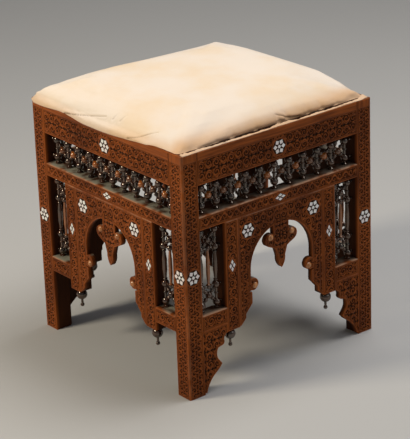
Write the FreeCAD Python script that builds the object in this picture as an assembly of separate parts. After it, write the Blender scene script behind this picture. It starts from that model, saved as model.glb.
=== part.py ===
import FreeCAD, Part

import math
import os

from FreeCAD import Vector

# A carved square stool. Corner posts are tenoned together by rails, turned lattice panels and fretted
# arch boards fill the sides, and an upholstered seat drops in between the top rails.
# Millimetres, +Z up, origin on the floor under the middle of the seat, front facing -Y.
# Every side is drawn as the front and turned about Z: s runs along the side, to the right as seen from
# outside, d is the depth behind its face, and z is the height above the floor.

# Whole stool
plan_side = 430.0
frame_height = 450.0

# Clearances
glue_gap = 0.1
lattice_gap = 0.2
inlay_gap = 0.05
axis_tolerance = 0.000001
drop_in_gap = 1.0
pad_gap = 0.3

# Corner posts
post_side = 34.0
arris_radius = 4.0

# Rails and stiles
rail_thickness = 26.0
top_rail_height = 59.0
upper_opening_height = 58.0
mid_rail_height = 24.0
side_opening_height = 159.0
side_opening_width = 55.0
lower_rail_height = 29.0
stile_width = 28.0
stile_drop = 17.0

# Tenons
tenon_thickness = 8.0
tenon_setback = 9.0
tenon_length = 14.0
tenon_shoulder = 5.0
stile_tenon_length = 10.0

# Arch boards
board_thickness = 10.0
tongue_length = 5.0
tongue_thickness = 5.0
tongue_setback = 3.0
jamb_width = 27.0
crown_cover = 34.0
board_lift = 2.0
step_reach = 29.0
step_notch = 3.6
notch_depth = 6.0
cusp_radius = 11.5
cusp_inset = 5.0
cusp_drop = 28.0
# The pendant against the radius of the arch that it hangs in.
pendant_neck_share = 0.493
pendant_length_share = 1.218
scroll_radius_share = 0.169
scroll_spread_share = 0.69
scroll_drop_share = 0.408
# Stepped edge below the cusps: across from the stile to the step, and up from the foot to the notch.
step_shares = ((0.1, 0.0), (0.48, 0.2), (0.48, 0.33), (1.0, 0.63), (1.0, 1.0))
# Tapering tail of the pendant: half width against the scroll spread, and drop against its length.
tail_start_shares = (0.276, 0.551)
tail_end_shares = (0.167, 0.74)
tail_tip_shares = (0.122, 0.902)
scroll_end_angle = -62.0

# Domed studs on scrolls and cusps
stud_diameter = 11.5
stud_dome = 3.5
stud_shank = 4.4
stud_shank_length = 8.0
cusp_stud_in = 4.0
cusp_stud_down = 3.0
# How far a scroll's stud sits above its centre, against its radius.
scroll_stud_share = 0.44

# Brackets beside the legs, on the front and the back
bracket_foot_gap = 3.0
dowel_diameter = 6.0
dowel_length = 20.0
dowel_height_shares = (0.5, 0.8)
# Scalloped edge from the stile to the foot: across from the post, and up from the foot to the stile's end.
bracket_cove_shares = ((0.87, 0.958), (0.83, 0.888))
bracket_lobe_shares = ((0.8, 0.806), (0.69, 0.789))
bracket_step_share = (0.58, 0.771)
bracket_hollow_shares = ((0.525, 0.672), (0.58, 0.561))
bracket_tip_share = (0.73, 0.456)
bracket_knee_shares = ((0.6, 0.374), (0.4, 0.292))
bracket_ankle_shares = ((0.2, 0.164), (0.075, 0.0))

# Turned finials under the stiles
finial_length = 36.0
finial_ball = 20.0
finial_ball_neck = 8.8
finial_tip_ball = 7.6
finial_collar = 12.0
finial_collar_height = 2.5
finial_neck = 4.4
finial_peg = 8.0
finial_peg_length = 12.0

# Turned lattice
lattice_pitch = 33.0
lattice_setback = 16.0
node_ball_share = 0.45
cell_ball_share = 0.385
arm_bead_share = 0.24
link_ball = 10.0
spindle_neck = 5.6
spindle_foot = 10.4
spindle_foot_height = 2.2
spindle_peg = 4.8
spindle_peg_length = 5.0
shaft_diameter = 9.4
middle_shaft_diameter = 7.0
shaft_taper_share = 0.3
ring_diameter = 8.6
ring_width = 3.4
arm_neck = 4.2
arm_collar = 5.4
arm_collar_length = 1.4
link_peg_length = 4.0
upper_link_bead = 6.0
side_link_bead = 5.0
upper_row_share = 0.276
inner_row_share = 0.2226
outer_row_share = 0.429
side_column_share = 0.3

# Mother-of-pearl inlay
inlay_thickness = 1.5
flower_diameter = 27.0
flower_petals = 6
top_flower_height = 23.0
spandrel_flower_inset = 23.0
spandrel_flower_drop = 29.0
post_flower_height = 228.0
petal_root_share = 0.33
petal_wide_share = 0.67
petal_half_width_share = 0.32
flower_centre_share = 0.24
diamond_length = 24.0
diamond_width = 14.0
stile_diamond_height = 225.0
lozenge_share = 0.455
lozenge_place_share = 0.545

# Seat
seat_board_thickness = 14.0
cushion_inset = 0.5
cushion_front_inset = 8.0
cushion_height = 39.0
cushion_corner_radius = 12.0
cushion_edge_height = 1.5
edge_roll = 12.0
crown_reach = 80.0
least_way = 1.0
# Places of the cushion's sections and of their points, in from its edges.
cushion_steps = (0.0, 1.5, 4.5, 12.0, 30.0, 65.0, 115.0)
# Rolled edge of the cushion: the way along a side from its left end, and the height.
front_edge_shares = ((0.0, 0.1), (0.2, 0.31), (0.5, 0.38), (0.78, 0.33), (0.93, 0.13), (1.0, 0.04))
right_edge_shares = (
    (0.0, 0.04), (0.07, 0.1), (0.15, 0.31), (0.25, 0.53), (0.5, 0.51), (0.83, 0.47), (1.0, 0.26),
)
back_edge_shares = ((0.0, 0.26), (0.17, 0.28), (0.5, 0.42), (0.8, 0.53), (1.0, 0.35))
left_edge_shares = ((0.0, 0.35), (0.25, 0.47), (0.5, 0.38), (0.75, 0.23), (1.0, 0.1))
cleat_depth = 16.0
cleat_height = 20.0
cleat_corner_gap = 23.0
cleat_screws = 3
screw_shank = 4.0
screw_head = 8.0
screw_head_height = 3.0
screw_length = 30.0
tacks_per_side = 6
tack_head = 8.0
tack_head_height = 1.0
tack_shank = 2.0
tack_shank_length = 9.0
tack_inset = 8.0

# Heights and places that follow from the sizes above
quarter_turn = 90.0
full_turn = 360.0
up = Vector(0, 0, 1)
outward = Vector(0, -1, 0)
half_plan = plan_side / 2
post_inner = half_plan - post_side
stile_outer = post_inner - side_opening_width
stile_inner = stile_outer - stile_width
stile_centre = (stile_inner + stile_outer) / 2
panel_centre = (stile_outer + post_inner) / 2
top_rail_bottom = frame_height - top_rail_height
mid_rail_top = top_rail_bottom - upper_opening_height
mid_rail_bottom = mid_rail_top - mid_rail_height
lower_rail_top = mid_rail_bottom - side_opening_height
lower_rail_bottom = lower_rail_top - lower_rail_height
stile_bottom = lower_rail_bottom - stile_drop
tenon_depths = (tenon_setback, tenon_setback + tenon_thickness)
tongue_depths = (tongue_setback, tongue_setback + tongue_thickness)
arch_radius = stile_inner - jamb_width
crown_height = mid_rail_bottom - crown_cover
arch_centre_height = crown_height - arch_radius
pendant_neck = arch_radius * pendant_neck_share
pendant_length = arch_radius * pendant_length_share
scroll_radius = arch_radius * scroll_radius_share
scroll_spread = arch_radius * scroll_spread_share
scroll_drop = arch_radius * scroll_drop_share
board_foot = stile_bottom + board_lift
cusp_centre = (arch_radius - cusp_inset, arch_centre_height - cusp_drop)
scroll_centre = (scroll_spread / 2, crown_height - scroll_drop)
upper_columns = round(2 * post_inner / lattice_pitch)
column_step = 2 * post_inner / upper_columns
upper_row_rise = upper_opening_height * upper_row_share
upper_middle = (mid_rail_top + top_rail_bottom) / 2
side_middle = (lower_rail_top + mid_rail_bottom) / 2
inner_row = side_opening_height * inner_row_share
outer_row = side_opening_height * outer_row_share
side_column = side_opening_width * side_column_share
cell_size = min(column_step, 2 * upper_row_rise)
node_ball = cell_size * node_ball_share
cell_ball = cell_size * cell_ball_share
arm_bead = cell_size * arm_bead_share
link_start = node_ball / 2 + lattice_gap
seat_top = frame_height + pad_gap
seat_underside = seat_top - seat_board_thickness
cushion_half = half_plan - cushion_inset
cushion_front = half_plan - cushion_front_inset
cleat_middle = seat_underside - cleat_height / 2
cleat_length = 2 * (half_plan - rail_thickness - cleat_depth - cleat_corner_gap)

SIDES = ("front", "right", "back", "left")
CORNERS = ("front_left", "front_right", "back_right", "back_left")
ENDS = {"left": -1, "right": 1}
BRACKET_SIDES = ("front", "back")


def at(s, d, z):
    """A point of the front side: along it, behind its face and above the floor."""
    return Vector(s, d - half_plan, z)


def block(s_range, d_range, z_range, grow=0):
    """A box over three ranges, grown on every face where it is the tool of a cut."""
    ranges = (s_range, d_range, z_range)
    low = [min(pair) - grow for pair in ranges]
    high = [max(pair) + grow for pair in ranges]
    sizes = [top - bottom for top, bottom in zip(high, low)]
    return Part.makeBox(*sizes, at(*low))


def placed(shape, s, d, z):
    """A shape drawn about the origin, moved to its place on the front side."""
    return shape.translated(at(s, d, z))


def on_side(shape, index):
    """A shape of the front side, turned to another side."""
    return shape.rotated(Vector(), up, quarter_turn * index)


def aimed(shape, direction):
    """A shape drawn along Z, turned to point along a direction."""
    turned = shape.copy()
    turned.Placement = FreeCAD.Placement(Vector(), FreeCAD.Rotation(up, direction))
    return turned


def seam_behind(shape):
    """A round shape with its seam turned to the back, away from the arms that join it."""
    return shape.rotated(Vector(), up, quarter_turn)


def joined(shapes):
    """Overlapping or touching shapes as one solid."""
    return shapes[0].multiFuse(shapes[1:]).removeSplitter().Solids[0]


def less(shape, tools):
    """A solid with tools cut away."""
    return shape.cut(tools).Solids[0]


def arc_edge(start, via, end):
    """An arc through three points, set exactly on the Z axis where its centre lies that near."""
    edge = Part.Arc(start, via, end).toShape()
    circle = edge.Curve
    if math.hypot(circle.Center.x, circle.Center.y) < axis_tolerance:
        circle.Center = Vector(0, 0, circle.Center.z)
        edge = circle.toShape(edge.FirstParameter, edge.LastParameter)
    return edge


def edges_along(start, steps, place):
    """Edges through steps: a point is a straight run to it, a pair is an arc past the first point."""
    edges = []
    here = start
    for step in steps:
        if isinstance(step[0], tuple):
            via, end = step
            edges.append(arc_edge(place(here), place(via), place(end)))
        else:
            end = step
            edges.append(Part.makeLine(place(here), place(end)))
        here = end
    return edges


def plate(start, steps, thickness):
    """A board sawn to a closed outline of (s, z) steps, with its front on the side's face."""
    edges = edges_along(start, steps, lambda point: at(point[0], 0, point[1]))
    return Part.Face(Part.Wire(edges)).extrude(Vector(0, thickness, 0))


def turning(start, steps):
    """A solid turned about Z, from (radius, height) steps that start and end on the axis."""
    edges = edges_along(start, steps + [start], lambda point: Vector(point[0], 0, point[1]))
    return Part.Face(Part.Wire(edges)).revolve(Vector(), up, full_turn)


def mirrored(point):
    """A point of an outline on the other side of its middle line."""
    return (-point[0], point[1])


def with_mirror(start, steps):
    """The steps of a right half, followed by the left half back to the start."""
    ends = [start] + [step[1] if isinstance(step[0], tuple) else step for step in steps]
    left = []
    for step, target in zip(reversed(steps), reversed(ends[:-1])):
        if isinstance(step[0], tuple):
            left.append((mirrored(step[0]), mirrored(target)))
        else:
            left.append(mirrored(target))
    return steps + left


def ball(diameter, centre, neck_below, neck_above):
    """Steps of a turned ball between two necks."""
    foot = centre - math.sqrt(diameter ** 2 - neck_below ** 2) / 2
    head = centre + math.sqrt(diameter ** 2 - neck_above ** 2) / 2
    return [(neck_below / 2, foot), ((diameter / 2, centre), (neck_above / 2, head))]


def ring(centre):
    """Steps of a turned ring on a spindle's neck."""
    neck = spindle_neck / 2
    return [(neck, centre - ring_width / 2), ((ring_diameter / 2, centre), (neck, centre + ring_width / 2))]


def barrel(diameter, low, high, neck):
    """Steps of a shaft that is thickest along its middle."""
    taper = (high - low) * shaft_taper_share
    radius = diameter / 2
    return [(neck / 2, low), (radius, low + taper), (radius, high - taper), (neck / 2, high)]


# Joinery


def rail_tenon(end, z_range, grow=0):
    """The tenon of a rail in a post, or its mortise where it is grown."""
    z_tenon = (z_range[0] + tenon_shoulder, z_range[1] - tenon_shoulder)
    return block((end * post_inner, end * (post_inner + tenon_length)), tenon_depths, z_tenon, grow)


def lower_stile_tenon(end, grow=0):
    """The tenon of a lower rail in its stile, or its mortise where it is grown."""
    z_tenon = (lower_rail_bottom + tenon_shoulder, lower_rail_top - tenon_shoulder)
    return block((end * stile_outer, end * (stile_outer - tenon_length)), tenon_depths, z_tenon, grow)


def stile_tenon(end, grow=0):
    """The tenon of a stile in the middle rail, or its mortise where it is grown."""
    s_tenon = (end * (stile_inner + tenon_shoulder), end * (stile_outer - tenon_shoulder))
    return block(s_tenon, tenon_depths, (mid_rail_bottom, mid_rail_bottom + stile_tenon_length), grow)


def top_tongue(grow=0):
    """The tongue along the top of an arch board, or its groove where it is grown."""
    s_tongue = (tenon_shoulder - stile_inner, stile_inner - tenon_shoulder)
    return block(s_tongue, tongue_depths, (mid_rail_bottom, mid_rail_bottom + tongue_length), grow)


def side_tongue(end, grow=0):
    """The tongue down one edge of an arch board, or its groove where it is grown."""
    s_tongue = (end * stile_inner, end * (stile_inner + tongue_length))
    z_tongue = (lower_rail_bottom, mid_rail_bottom - tenon_shoulder)
    return block(s_tongue, tongue_depths, z_tongue, grow)


def peg_hole(s, z_face, way):
    """The hole of a lattice spindle's peg, up or down into a rail from its face."""
    radius = spindle_peg / 2 + glue_gap
    depth = spindle_peg_length + glue_gap
    return Part.makeCylinder(radius, depth, at(s, lattice_setback, z_face), up * way)


def link_hole(s_face, z, way):
    """The hole of a lattice link's peg, into a post or a stile from its face."""
    radius = arm_neck / 2 + glue_gap
    depth = link_peg_length + glue_gap
    return Part.makeCylinder(radius, depth, at(s_face, lattice_setback, z), Vector(way, 0, 0))


def upper_places():
    """Where the spindles of an upper lattice stand along the side."""
    return [(index + 0.5) * column_step - post_inner for index in range(upper_columns)]


def side_places(end):
    """Where the two spindles of a side lattice stand along the side."""
    return [end * panel_centre + way * side_column for way in (-1, 1)]


def upper_rows():
    """Heights of the balls of an upper lattice."""
    return [upper_middle + way * upper_row_rise for way in (-1, 1)]


def side_rows():
    """Heights of the balls of a side lattice, from the lowest."""
    return [side_middle + rise for rise in (-outer_row, -inner_row, inner_row, outer_row)]


# Inlay


def prism(points, grow):
    """A flat piece let into the face, or its pocket, with the gap under it, where it is grown."""
    corners = [at(s, 0, z) for s, z in points]
    face = Part.Face(Part.makePolygon(corners + corners[:1]))
    return face.extrude(Vector(0, inlay_thickness + grow, 0))


def flower(s, z, grow=0):
    """Six petals round a middle piece."""
    radius = flower_diameter / 2
    root = radius * petal_root_share - grow
    wide = radius * petal_wide_share
    half_width = radius * petal_half_width_share + grow
    tip = radius + grow
    middle = radius * flower_centre_share + grow
    pieces = []
    hexagon = []
    for petal in range(flower_petals):
        angle = 2 * math.pi * petal / flower_petals
        along = (math.cos(angle), math.sin(angle))
        across = (-along[1], along[0])
        outline = ((root, 0), (wide, -half_width), (tip, 0), (wide, half_width))
        points = [
            (s + out * along[0] + side * across[0], z + out * along[1] + side * across[1])
            for out, side in outline
        ]
        pieces.append(prism(points, grow))
        hexagon.append((s + middle * along[0], z + middle * along[1]))
    pieces.append(prism(hexagon, grow))
    return pieces


def diamond(s, z, length, width, grow=0):
    """Four lozenges round an open middle."""
    half_length = length / 2 * lozenge_share + grow
    half_width = width / 2 * lozenge_share + grow
    pieces = []
    for along, across in ((-1, 0), (1, 0), (0, -1), (0, 1)):
        middle_s = s + along * length / 2 * lozenge_place_share
        middle_z = z + across * width / 2 * lozenge_place_share
        points = (
            (middle_s - half_length, middle_z), (middle_s, middle_z - half_width),
            (middle_s + half_length, middle_z), (middle_s, middle_z + half_width),
        )
        pieces.append(prism(points, grow))
    return pieces


def top_flower(grow=0):
    return flower(0, top_rail_bottom + top_flower_height, grow)


def spandrel_flower(end, grow=0):
    middle = end * (stile_inner - spandrel_flower_inset)
    return flower(middle, mid_rail_bottom - spandrel_flower_drop, grow)


def post_flower(end, grow=0):
    return flower(end * (post_inner + post_side / 2), post_flower_height, grow)


def mid_diamond(grow=0):
    return diamond(0, (mid_rail_bottom + mid_rail_top) / 2, diamond_length, diamond_width, grow)


def stile_diamond(end, grow=0):
    return diamond(end * stile_centre, stile_diamond_height, diamond_width, diamond_length, grow)


# Posts, rails and stiles


def post_cuts(end, side):
    """What one side cuts out of the post at one of its ends."""
    cuts = [
        rail_tenon(end, (top_rail_bottom, frame_height), glue_gap),
        rail_tenon(end, (mid_rail_bottom, mid_rail_top), glue_gap),
        rail_tenon(end, (lower_rail_bottom, lower_rail_top), glue_gap),
    ]
    cuts += [link_hole(end * post_inner, row, end) for row in upper_rows() + side_rows()]
    cuts += post_flower(end, inlay_gap)
    if side in BRACKET_SIDES:
        cuts += [dowel(end, share, glue_gap) for share in dowel_height_shares]
    return cuts


def corner_post(index):
    """A post, drawn at the front left corner and turned to its own, with the cuts of its two sides."""
    round_start = half_plan - arris_radius
    round_middle = half_plan - arris_radius * (1 - math.sqrt(0.5))
    steps = [
        (-post_inner, -half_plan), (-post_inner, -post_inner), (-half_plan, -post_inner),
        (-half_plan, -round_start),
        ((-round_middle, -round_middle), (-round_start, -half_plan)),
    ]
    edges = edges_along((-round_start, -half_plan), steps, lambda point: Vector(*point, 0))
    post = on_side(Part.Face(Part.Wire(edges)).extrude(up * frame_height), index)
    before = (index - 1) % len(SIDES)
    cuts = [on_side(cut, index) for cut in post_cuts(ENDS["left"], SIDES[index])]
    cuts += [on_side(cut, before) for cut in post_cuts(ENDS["right"], SIDES[before])]
    return less(post, cuts)


def long_rail(z_range, cuts):
    """A rail from post to post with a tenon at each end."""
    body = block((-post_inner, post_inner), (0, rail_thickness), z_range)
    return less(joined([body] + [rail_tenon(end, z_range) for end in ENDS.values()]), cuts)


def top_rail():
    cuts = [peg_hole(s, top_rail_bottom, 1) for s in upper_places()]
    cuts += [cleat_screw(s, glue_gap) for s in screw_places()]
    return long_rail((top_rail_bottom, frame_height), cuts + top_flower(inlay_gap))


def mid_rail():
    cuts = [peg_hole(s, mid_rail_top, -1) for s in upper_places()]
    cuts.append(top_tongue(glue_gap))
    for end in ENDS.values():
        cuts += [peg_hole(s, mid_rail_bottom, 1) for s in side_places(end)]
        cuts.append(stile_tenon(end, glue_gap))
    return long_rail((mid_rail_bottom, mid_rail_top), cuts + mid_diamond(inlay_gap))


def lower_rail(end):
    """A short rail between a post and its stile."""
    z_range = (lower_rail_bottom, lower_rail_top)
    body = block((end * stile_outer, end * post_inner), (0, rail_thickness), z_range)
    rail = joined([body, rail_tenon(end, z_range), lower_stile_tenon(end)])
    return less(rail, [peg_hole(s, lower_rail_top, -1) for s in side_places(end)])


def stile(end):
    """An upright beside the arch, from the middle rail down to its finial."""
    s_range = (end * stile_inner, end * stile_outer)
    body = block(s_range, (0, rail_thickness), (stile_bottom, mid_rail_bottom))
    cuts = [lower_stile_tenon(end, glue_gap), side_tongue(end, glue_gap)]
    cuts += [link_hole(end * stile_outer, row, -end) for row in side_rows()]
    finial_hole = Part.makeCylinder(
        finial_peg / 2 + glue_gap, finial_peg_length + glue_gap,
        at(end * stile_centre, rail_thickness / 2, stile_bottom), up,
    )
    cuts.append(finial_hole)
    return less(joined([body, stile_tenon(end)]), cuts + stile_diamond(end, inlay_gap))


# Arch boards, brackets and their small turned pieces


def stud_places():
    """Where the domed studs sit on an arch board."""
    scroll = (scroll_centre[0], scroll_centre[1] + scroll_stud_share * scroll_radius)
    cusp = (cusp_centre[0] - cusp_stud_in, cusp_centre[1] - cusp_stud_down)
    return [(end * s, z) for s, z in (scroll, cusp) for end in ENDS.values()]


def arch_board():
    """A fretted board with an arch, a cusp each side and a scrolled pendant, tongued into its frame."""
    cusp_chord = math.sqrt(cusp_radius ** 2 - cusp_inset ** 2)
    cusp_low = (arch_radius, cusp_centre[1] - cusp_chord)
    cusp_high = (arch_radius, cusp_centre[1] + cusp_chord)
    step_height = cusp_low[1] - step_notch - board_foot
    step_edge = [
        (stile_inner - across * step_reach, board_foot + rise * step_height)
        for across, rise in step_shares
    ]
    notch = (arch_radius + notch_depth, cusp_low[1] - step_notch / 2)
    neck = pendant_neck / 2
    neck_top = (neck, arch_centre_height + math.sqrt(arch_radius ** 2 - neck ** 2))
    arch_haunch = arch_radius * math.sqrt(0.5)
    neck_in = scroll_centre[0] - neck
    neck_bottom = (neck, scroll_centre[1] + math.sqrt(scroll_radius ** 2 - neck_in ** 2))
    scroll_turn = math.radians(scroll_end_angle)
    scroll_end = (
        scroll_centre[0] + scroll_radius * math.cos(scroll_turn),
        scroll_centre[1] + scroll_radius * math.sin(scroll_turn),
    )
    tail = [
        (across * scroll_spread, crown_height - drop * pendant_length)
        for across, drop in (tail_start_shares, tail_end_shares, tail_tip_shares)
    ]
    top = (0, mid_rail_bottom)
    steps = [
        (stile_inner, mid_rail_bottom), (stile_inner, board_foot), *step_edge, notch, cusp_low,
        ((cusp_centre[0] - cusp_radius, cusp_centre[1]), cusp_high),
        (arch_radius, arch_centre_height),
        ((arch_haunch, arch_centre_height + arch_haunch), neck_top),
        neck_bottom,
        ((scroll_centre[0] + scroll_radius, scroll_centre[1]), scroll_end),
        tail[0], tail[1],
        (tail[2], (0, crown_height - pendant_length)),
    ]
    board = plate(top, with_mirror(top, steps), board_thickness)
    tongues = [top_tongue()] + [side_tongue(end) for end in ENDS.values()]
    holes = [stud_hole(s, z) for s, z in stud_places()]
    pockets = [piece for end in ENDS.values() for piece in spandrel_flower(end, inlay_gap)]
    return less(joined([board] + tongues), holes + pockets)


def stud_hole(s, z):
    """The hole of a stud's shank, in from the face."""
    radius = stud_shank / 2 + glue_gap
    return Part.makeCylinder(radius, stud_shank_length + glue_gap, at(s, 0, z), -outward)


def stud():
    """A domed stud along Z, with its seat at the origin."""
    shank = stud_shank / 2
    rim = stud_diameter / 2
    dome_radius = (rim ** 2 + stud_dome ** 2) / (2 * stud_dome)
    dome_centre = stud_dome - dome_radius
    half_turn = math.atan2(rim, -dome_centre) / 2
    dome_middle = (dome_radius * math.sin(half_turn), dome_centre + dome_radius * math.cos(half_turn))
    steps = [(shank, -stud_shank_length), (shank, 0), (rim, 0), (dome_middle, (0, stud_dome))]
    return turning((0, -stud_shank_length), steps)


def dowel(end, share, grow=0):
    """A dowel between a bracket and its post, or its hole where it is grown."""
    start = at(end * post_inner - dowel_length / 2 - grow, board_thickness / 2, share * lower_rail_bottom)
    return Part.makeCylinder(dowel_diameter / 2 + grow, dowel_length + 2 * grow, start, Vector(1, 0, 0))


def bracket_point(end, share):
    """A point of the bracket: across from the post to the stile, up from its foot to the stile's end."""
    across, rise = share
    height = bracket_foot_gap + rise * (stile_bottom - bracket_foot_gap)
    return (end * (post_inner - across * side_opening_width), height)


def foot_bracket(end):
    """A scalloped bracket in the corner between a post and its lower rail."""
    cove, lobe, hollow, ankle = [
        tuple(bracket_point(end, share) for share in shares)
        for shares in (bracket_cove_shares, bracket_lobe_shares, bracket_hollow_shares, bracket_ankle_shares)
    ]
    knee = [bracket_point(end, share) for share in bracket_knee_shares]
    start = (end * post_inner, lower_rail_bottom)
    steps = [
        (end * stile_outer, lower_rail_bottom), (end * stile_outer, stile_bottom),
        cove, lobe, bracket_point(end, bracket_step_share), hollow, bracket_point(end, bracket_tip_share),
        *knee, ankle, (end * post_inner, bracket_foot_gap), start,
    ]
    board = plate(start, steps, board_thickness)
    return less(board, [dowel(end, share, glue_gap) for share in dowel_height_shares])


def finial():
    """A turned drop along Z, hanging from the origin, with its peg above."""
    collar_end = -finial_collar_height
    ball_middle = collar_end - math.sqrt(finial_ball ** 2 - finial_ball_neck ** 2) / 2
    tip_middle = finial_tip_ball / 2 - finial_length
    tip = ball(finial_tip_ball, tip_middle, 0, finial_neck)
    steps = [
        *tip[1:], *ball(finial_ball, ball_middle, finial_neck, finial_ball_neck),
        (finial_collar / 2, collar_end), (finial_collar / 2, 0), (finial_peg / 2, 0),
        (finial_peg / 2, finial_peg_length), (0, finial_peg_length),
    ]
    return turning(tip[0], steps)


# Turned lattice


def spindle(height, features):
    """An upright of a lattice, with a foot and a peg at each end and turned features between them."""
    peg = spindle_peg / 2
    foot = spindle_foot / 2
    neck = spindle_neck / 2
    cove = 2 * spindle_foot_height
    steps = [
        (peg, -spindle_peg_length), (peg, 0), (foot, 0), (foot, spindle_foot_height), (neck, cove),
        *features,
        (neck, height - cove), (foot, height - spindle_foot_height), (foot, height), (peg, height),
        (peg, height + spindle_peg_length), (0, height + spindle_peg_length),
    ]
    return turning((0, -spindle_peg_length), steps)


def node(height):
    """Steps of a ball at a crossing of a lattice."""
    return ball(node_ball, height, spindle_neck, spindle_neck)


def upper_spindle():
    low, high = [row - mid_rail_top for row in upper_rows()]
    features = node(low) + ring((low + high) / 2) + node(high)
    return spindle(upper_opening_height, features)


def side_spindle():
    rows = [row - lower_rail_top for row in side_rows()]
    ring_reach = node_ball / 2 + ring_width / 2
    shaft_reach = ring_reach + ring_width / 2
    features = node(rows[0]) + ring((rows[0] + rows[1]) / 2) + node(rows[1]) + ring(rows[1] + ring_reach)
    shaft = barrel(shaft_diameter, rows[1] + shaft_reach, rows[2] - shaft_reach, spindle_neck)
    features += shaft[1:] + ring(rows[2] - ring_reach)[1:]
    features += node(rows[2]) + ring((rows[2] + rows[3]) / 2) + node(rows[3])
    return spindle(side_opening_height, features)


def arm(reach):
    """A turned arm along Z from the middle of a ball, with a bead and a collar at its end."""
    neck = arm_neck / 2
    bead = ball(arm_bead, (cell_ball / 2 + reach - arm_collar_length) / 2, arm_neck, arm_neck)
    collar_start = reach - arm_collar_length
    steps = [
        (neck, 0), *bead, (neck, collar_start), (arm_collar / 2, collar_start), (arm_collar / 2, reach),
        (0, reach),
    ]
    return turning((0, 0), steps)


def cross(half_width, half_height):
    """The ball in the middle of a lattice cell, with an arm to the ball at each corner."""
    reach = math.hypot(half_width, half_height) - node_ball / 2 - lattice_gap
    pieces = [seam_behind(Part.makeSphere(cell_ball / 2))]
    for across in (-half_width, half_width):
        for rise in (-half_height, half_height):
            pieces.append(aimed(arm(reach), Vector(across, 0, rise)))
    return joined(pieces)


def link(reach, features):
    """A short turned piece along Z, from beside a ball to its peg in a post or a stile."""
    neck = arm_neck / 2
    peg_end = reach + link_peg_length
    return turning((0, link_start), features + [(neck, reach), (neck, peg_end), (0, peg_end)])


def upper_link():
    """A link with a bead between two collars."""
    reach = column_step / 2
    collar = arm_collar / 2
    neck = arm_neck / 2
    collar_end = link_start + arm_collar_length
    features = [
        (collar, link_start), (collar, collar_end), (neck, collar_end),
        *ball(upper_link_bead, (link_start + reach) / 2, arm_neck, arm_neck),
        (neck, reach - arm_collar_length), (collar, reach - arm_collar_length), (collar, reach),
    ]
    return link(reach, features)


def side_link():
    """A link with a bead alone."""
    reach = side_opening_width / 2 - side_column
    bead = ball(side_link_bead, (link_start + reach) / 2, arm_neck, arm_neck)
    return link(reach, [(arm_neck / 2, link_start)] + bead)


def middle_spindle():
    """The slim upright between the two cells of a side lattice, with its cross arms."""
    half = inner_row
    low_ball = ball(link_ball, -half, 0, arm_neck)
    high_ball = ball(link_ball, half, arm_neck, 0)
    shaft_reach = half - link_ball / 2
    shaft = barrel(middle_shaft_diameter, -shaft_reach, shaft_reach, arm_neck)
    pieces = [seam_behind(turning(low_ball[0], low_ball[1:] + shaft + high_ball))]
    reach = side_column - node_ball / 2 - lattice_gap
    arm_stub = Part.makeCylinder(arm_neck / 2, reach)
    for rise in (-half, half):
        for way in (-1, 1):
            pieces.append(aimed(arm_stub, Vector(way, 0, 0)).translated(up * rise))
    return joined(pieces)


def upper_lattice():
    """All the turned pieces between the top and the middle rail of a side."""
    places = upper_places()
    pieces = [placed(upper_spindle(), s, lattice_setback, mid_rail_top) for s in places]
    cell = cross(column_step / 2, upper_row_rise)
    pieces += [placed(cell, s + column_step / 2, lattice_setback, upper_middle) for s in places[:-1]]
    for way, s in ((-1, places[0]), (1, places[-1])):
        end_link = aimed(upper_link(), Vector(way, 0, 0))
        pieces += [placed(end_link, s, lattice_setback, row) for row in upper_rows()]
    return pieces


def side_lattice():
    """All the turned pieces in the two tall openings of a side."""
    rows = side_rows()
    upright = side_spindle()
    cell = cross(side_column, (outer_row - inner_row) / 2)
    middle = middle_spindle()
    pieces = []
    for end in ENDS.values():
        pieces += [placed(upright, s, lattice_setback, lower_rail_top) for s in side_places(end)]
        for low, high in (rows[:2], rows[2:]):
            pieces.append(placed(cell, end * panel_centre, lattice_setback, (low + high) / 2))
        pieces.append(placed(middle, end * panel_centre, lattice_setback, side_middle))
        for way, s in zip((-1, 1), side_places(end)):
            frame_link = aimed(side_link(), Vector(way, 0, 0))
            pieces += [placed(frame_link, s, lattice_setback, row) for row in rows]
    return pieces


# Seat and what carries it


def seat_cleat():
    """A strip inside a top rail that the seat board rests on."""
    depths = (rail_thickness, rail_thickness + cleat_depth)
    heights = (seat_underside - cleat_height, seat_underside)
    strip = block((-cleat_length / 2, cleat_length / 2), depths, heights)
    return less(strip, [cleat_screw(s, glue_gap) for s in screw_places()])


def screw_places():
    """Where the screws stand along a cleat."""
    return [(index + 0.5) * cleat_length / cleat_screws - cleat_length / 2 for index in range(cleat_screws)]


def cleat_screw(s, grow=0):
    """A countersunk screw through a cleat into its rail, or its hole where it is grown."""
    shank = screw_shank / 2 + grow
    head = screw_head / 2 + grow
    tip = -screw_length - grow
    steps = [(shank, tip), (shank, -screw_head_height), (head, 0), (0, 0)]
    screw = aimed(turning((0, tip), steps), -outward)
    return placed(screw, s, rail_thickness + cleat_depth, cleat_middle)


def tack_places():
    """Where the tacks stand under the seat board, along one side."""
    depth = rail_thickness + cleat_depth + tack_inset
    span = 2 * (half_plan - depth)
    return [((index + 0.5) * span / tacks_per_side - span / 2, depth) for index in range(tacks_per_side)]


def tack(s, d, grow=0):
    """A cover tack under the seat board, or its hole where it is grown."""
    shank = tack_shank / 2 + grow
    head = tack_head / 2
    steps = [
        (head, -tack_head_height), (head, 0), (shank, 0), (shank, tack_shank_length + grow),
        (0, tack_shank_length + grow),
    ]
    return placed(turning((0, -tack_head_height), steps), s, d, seat_underside)


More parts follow.
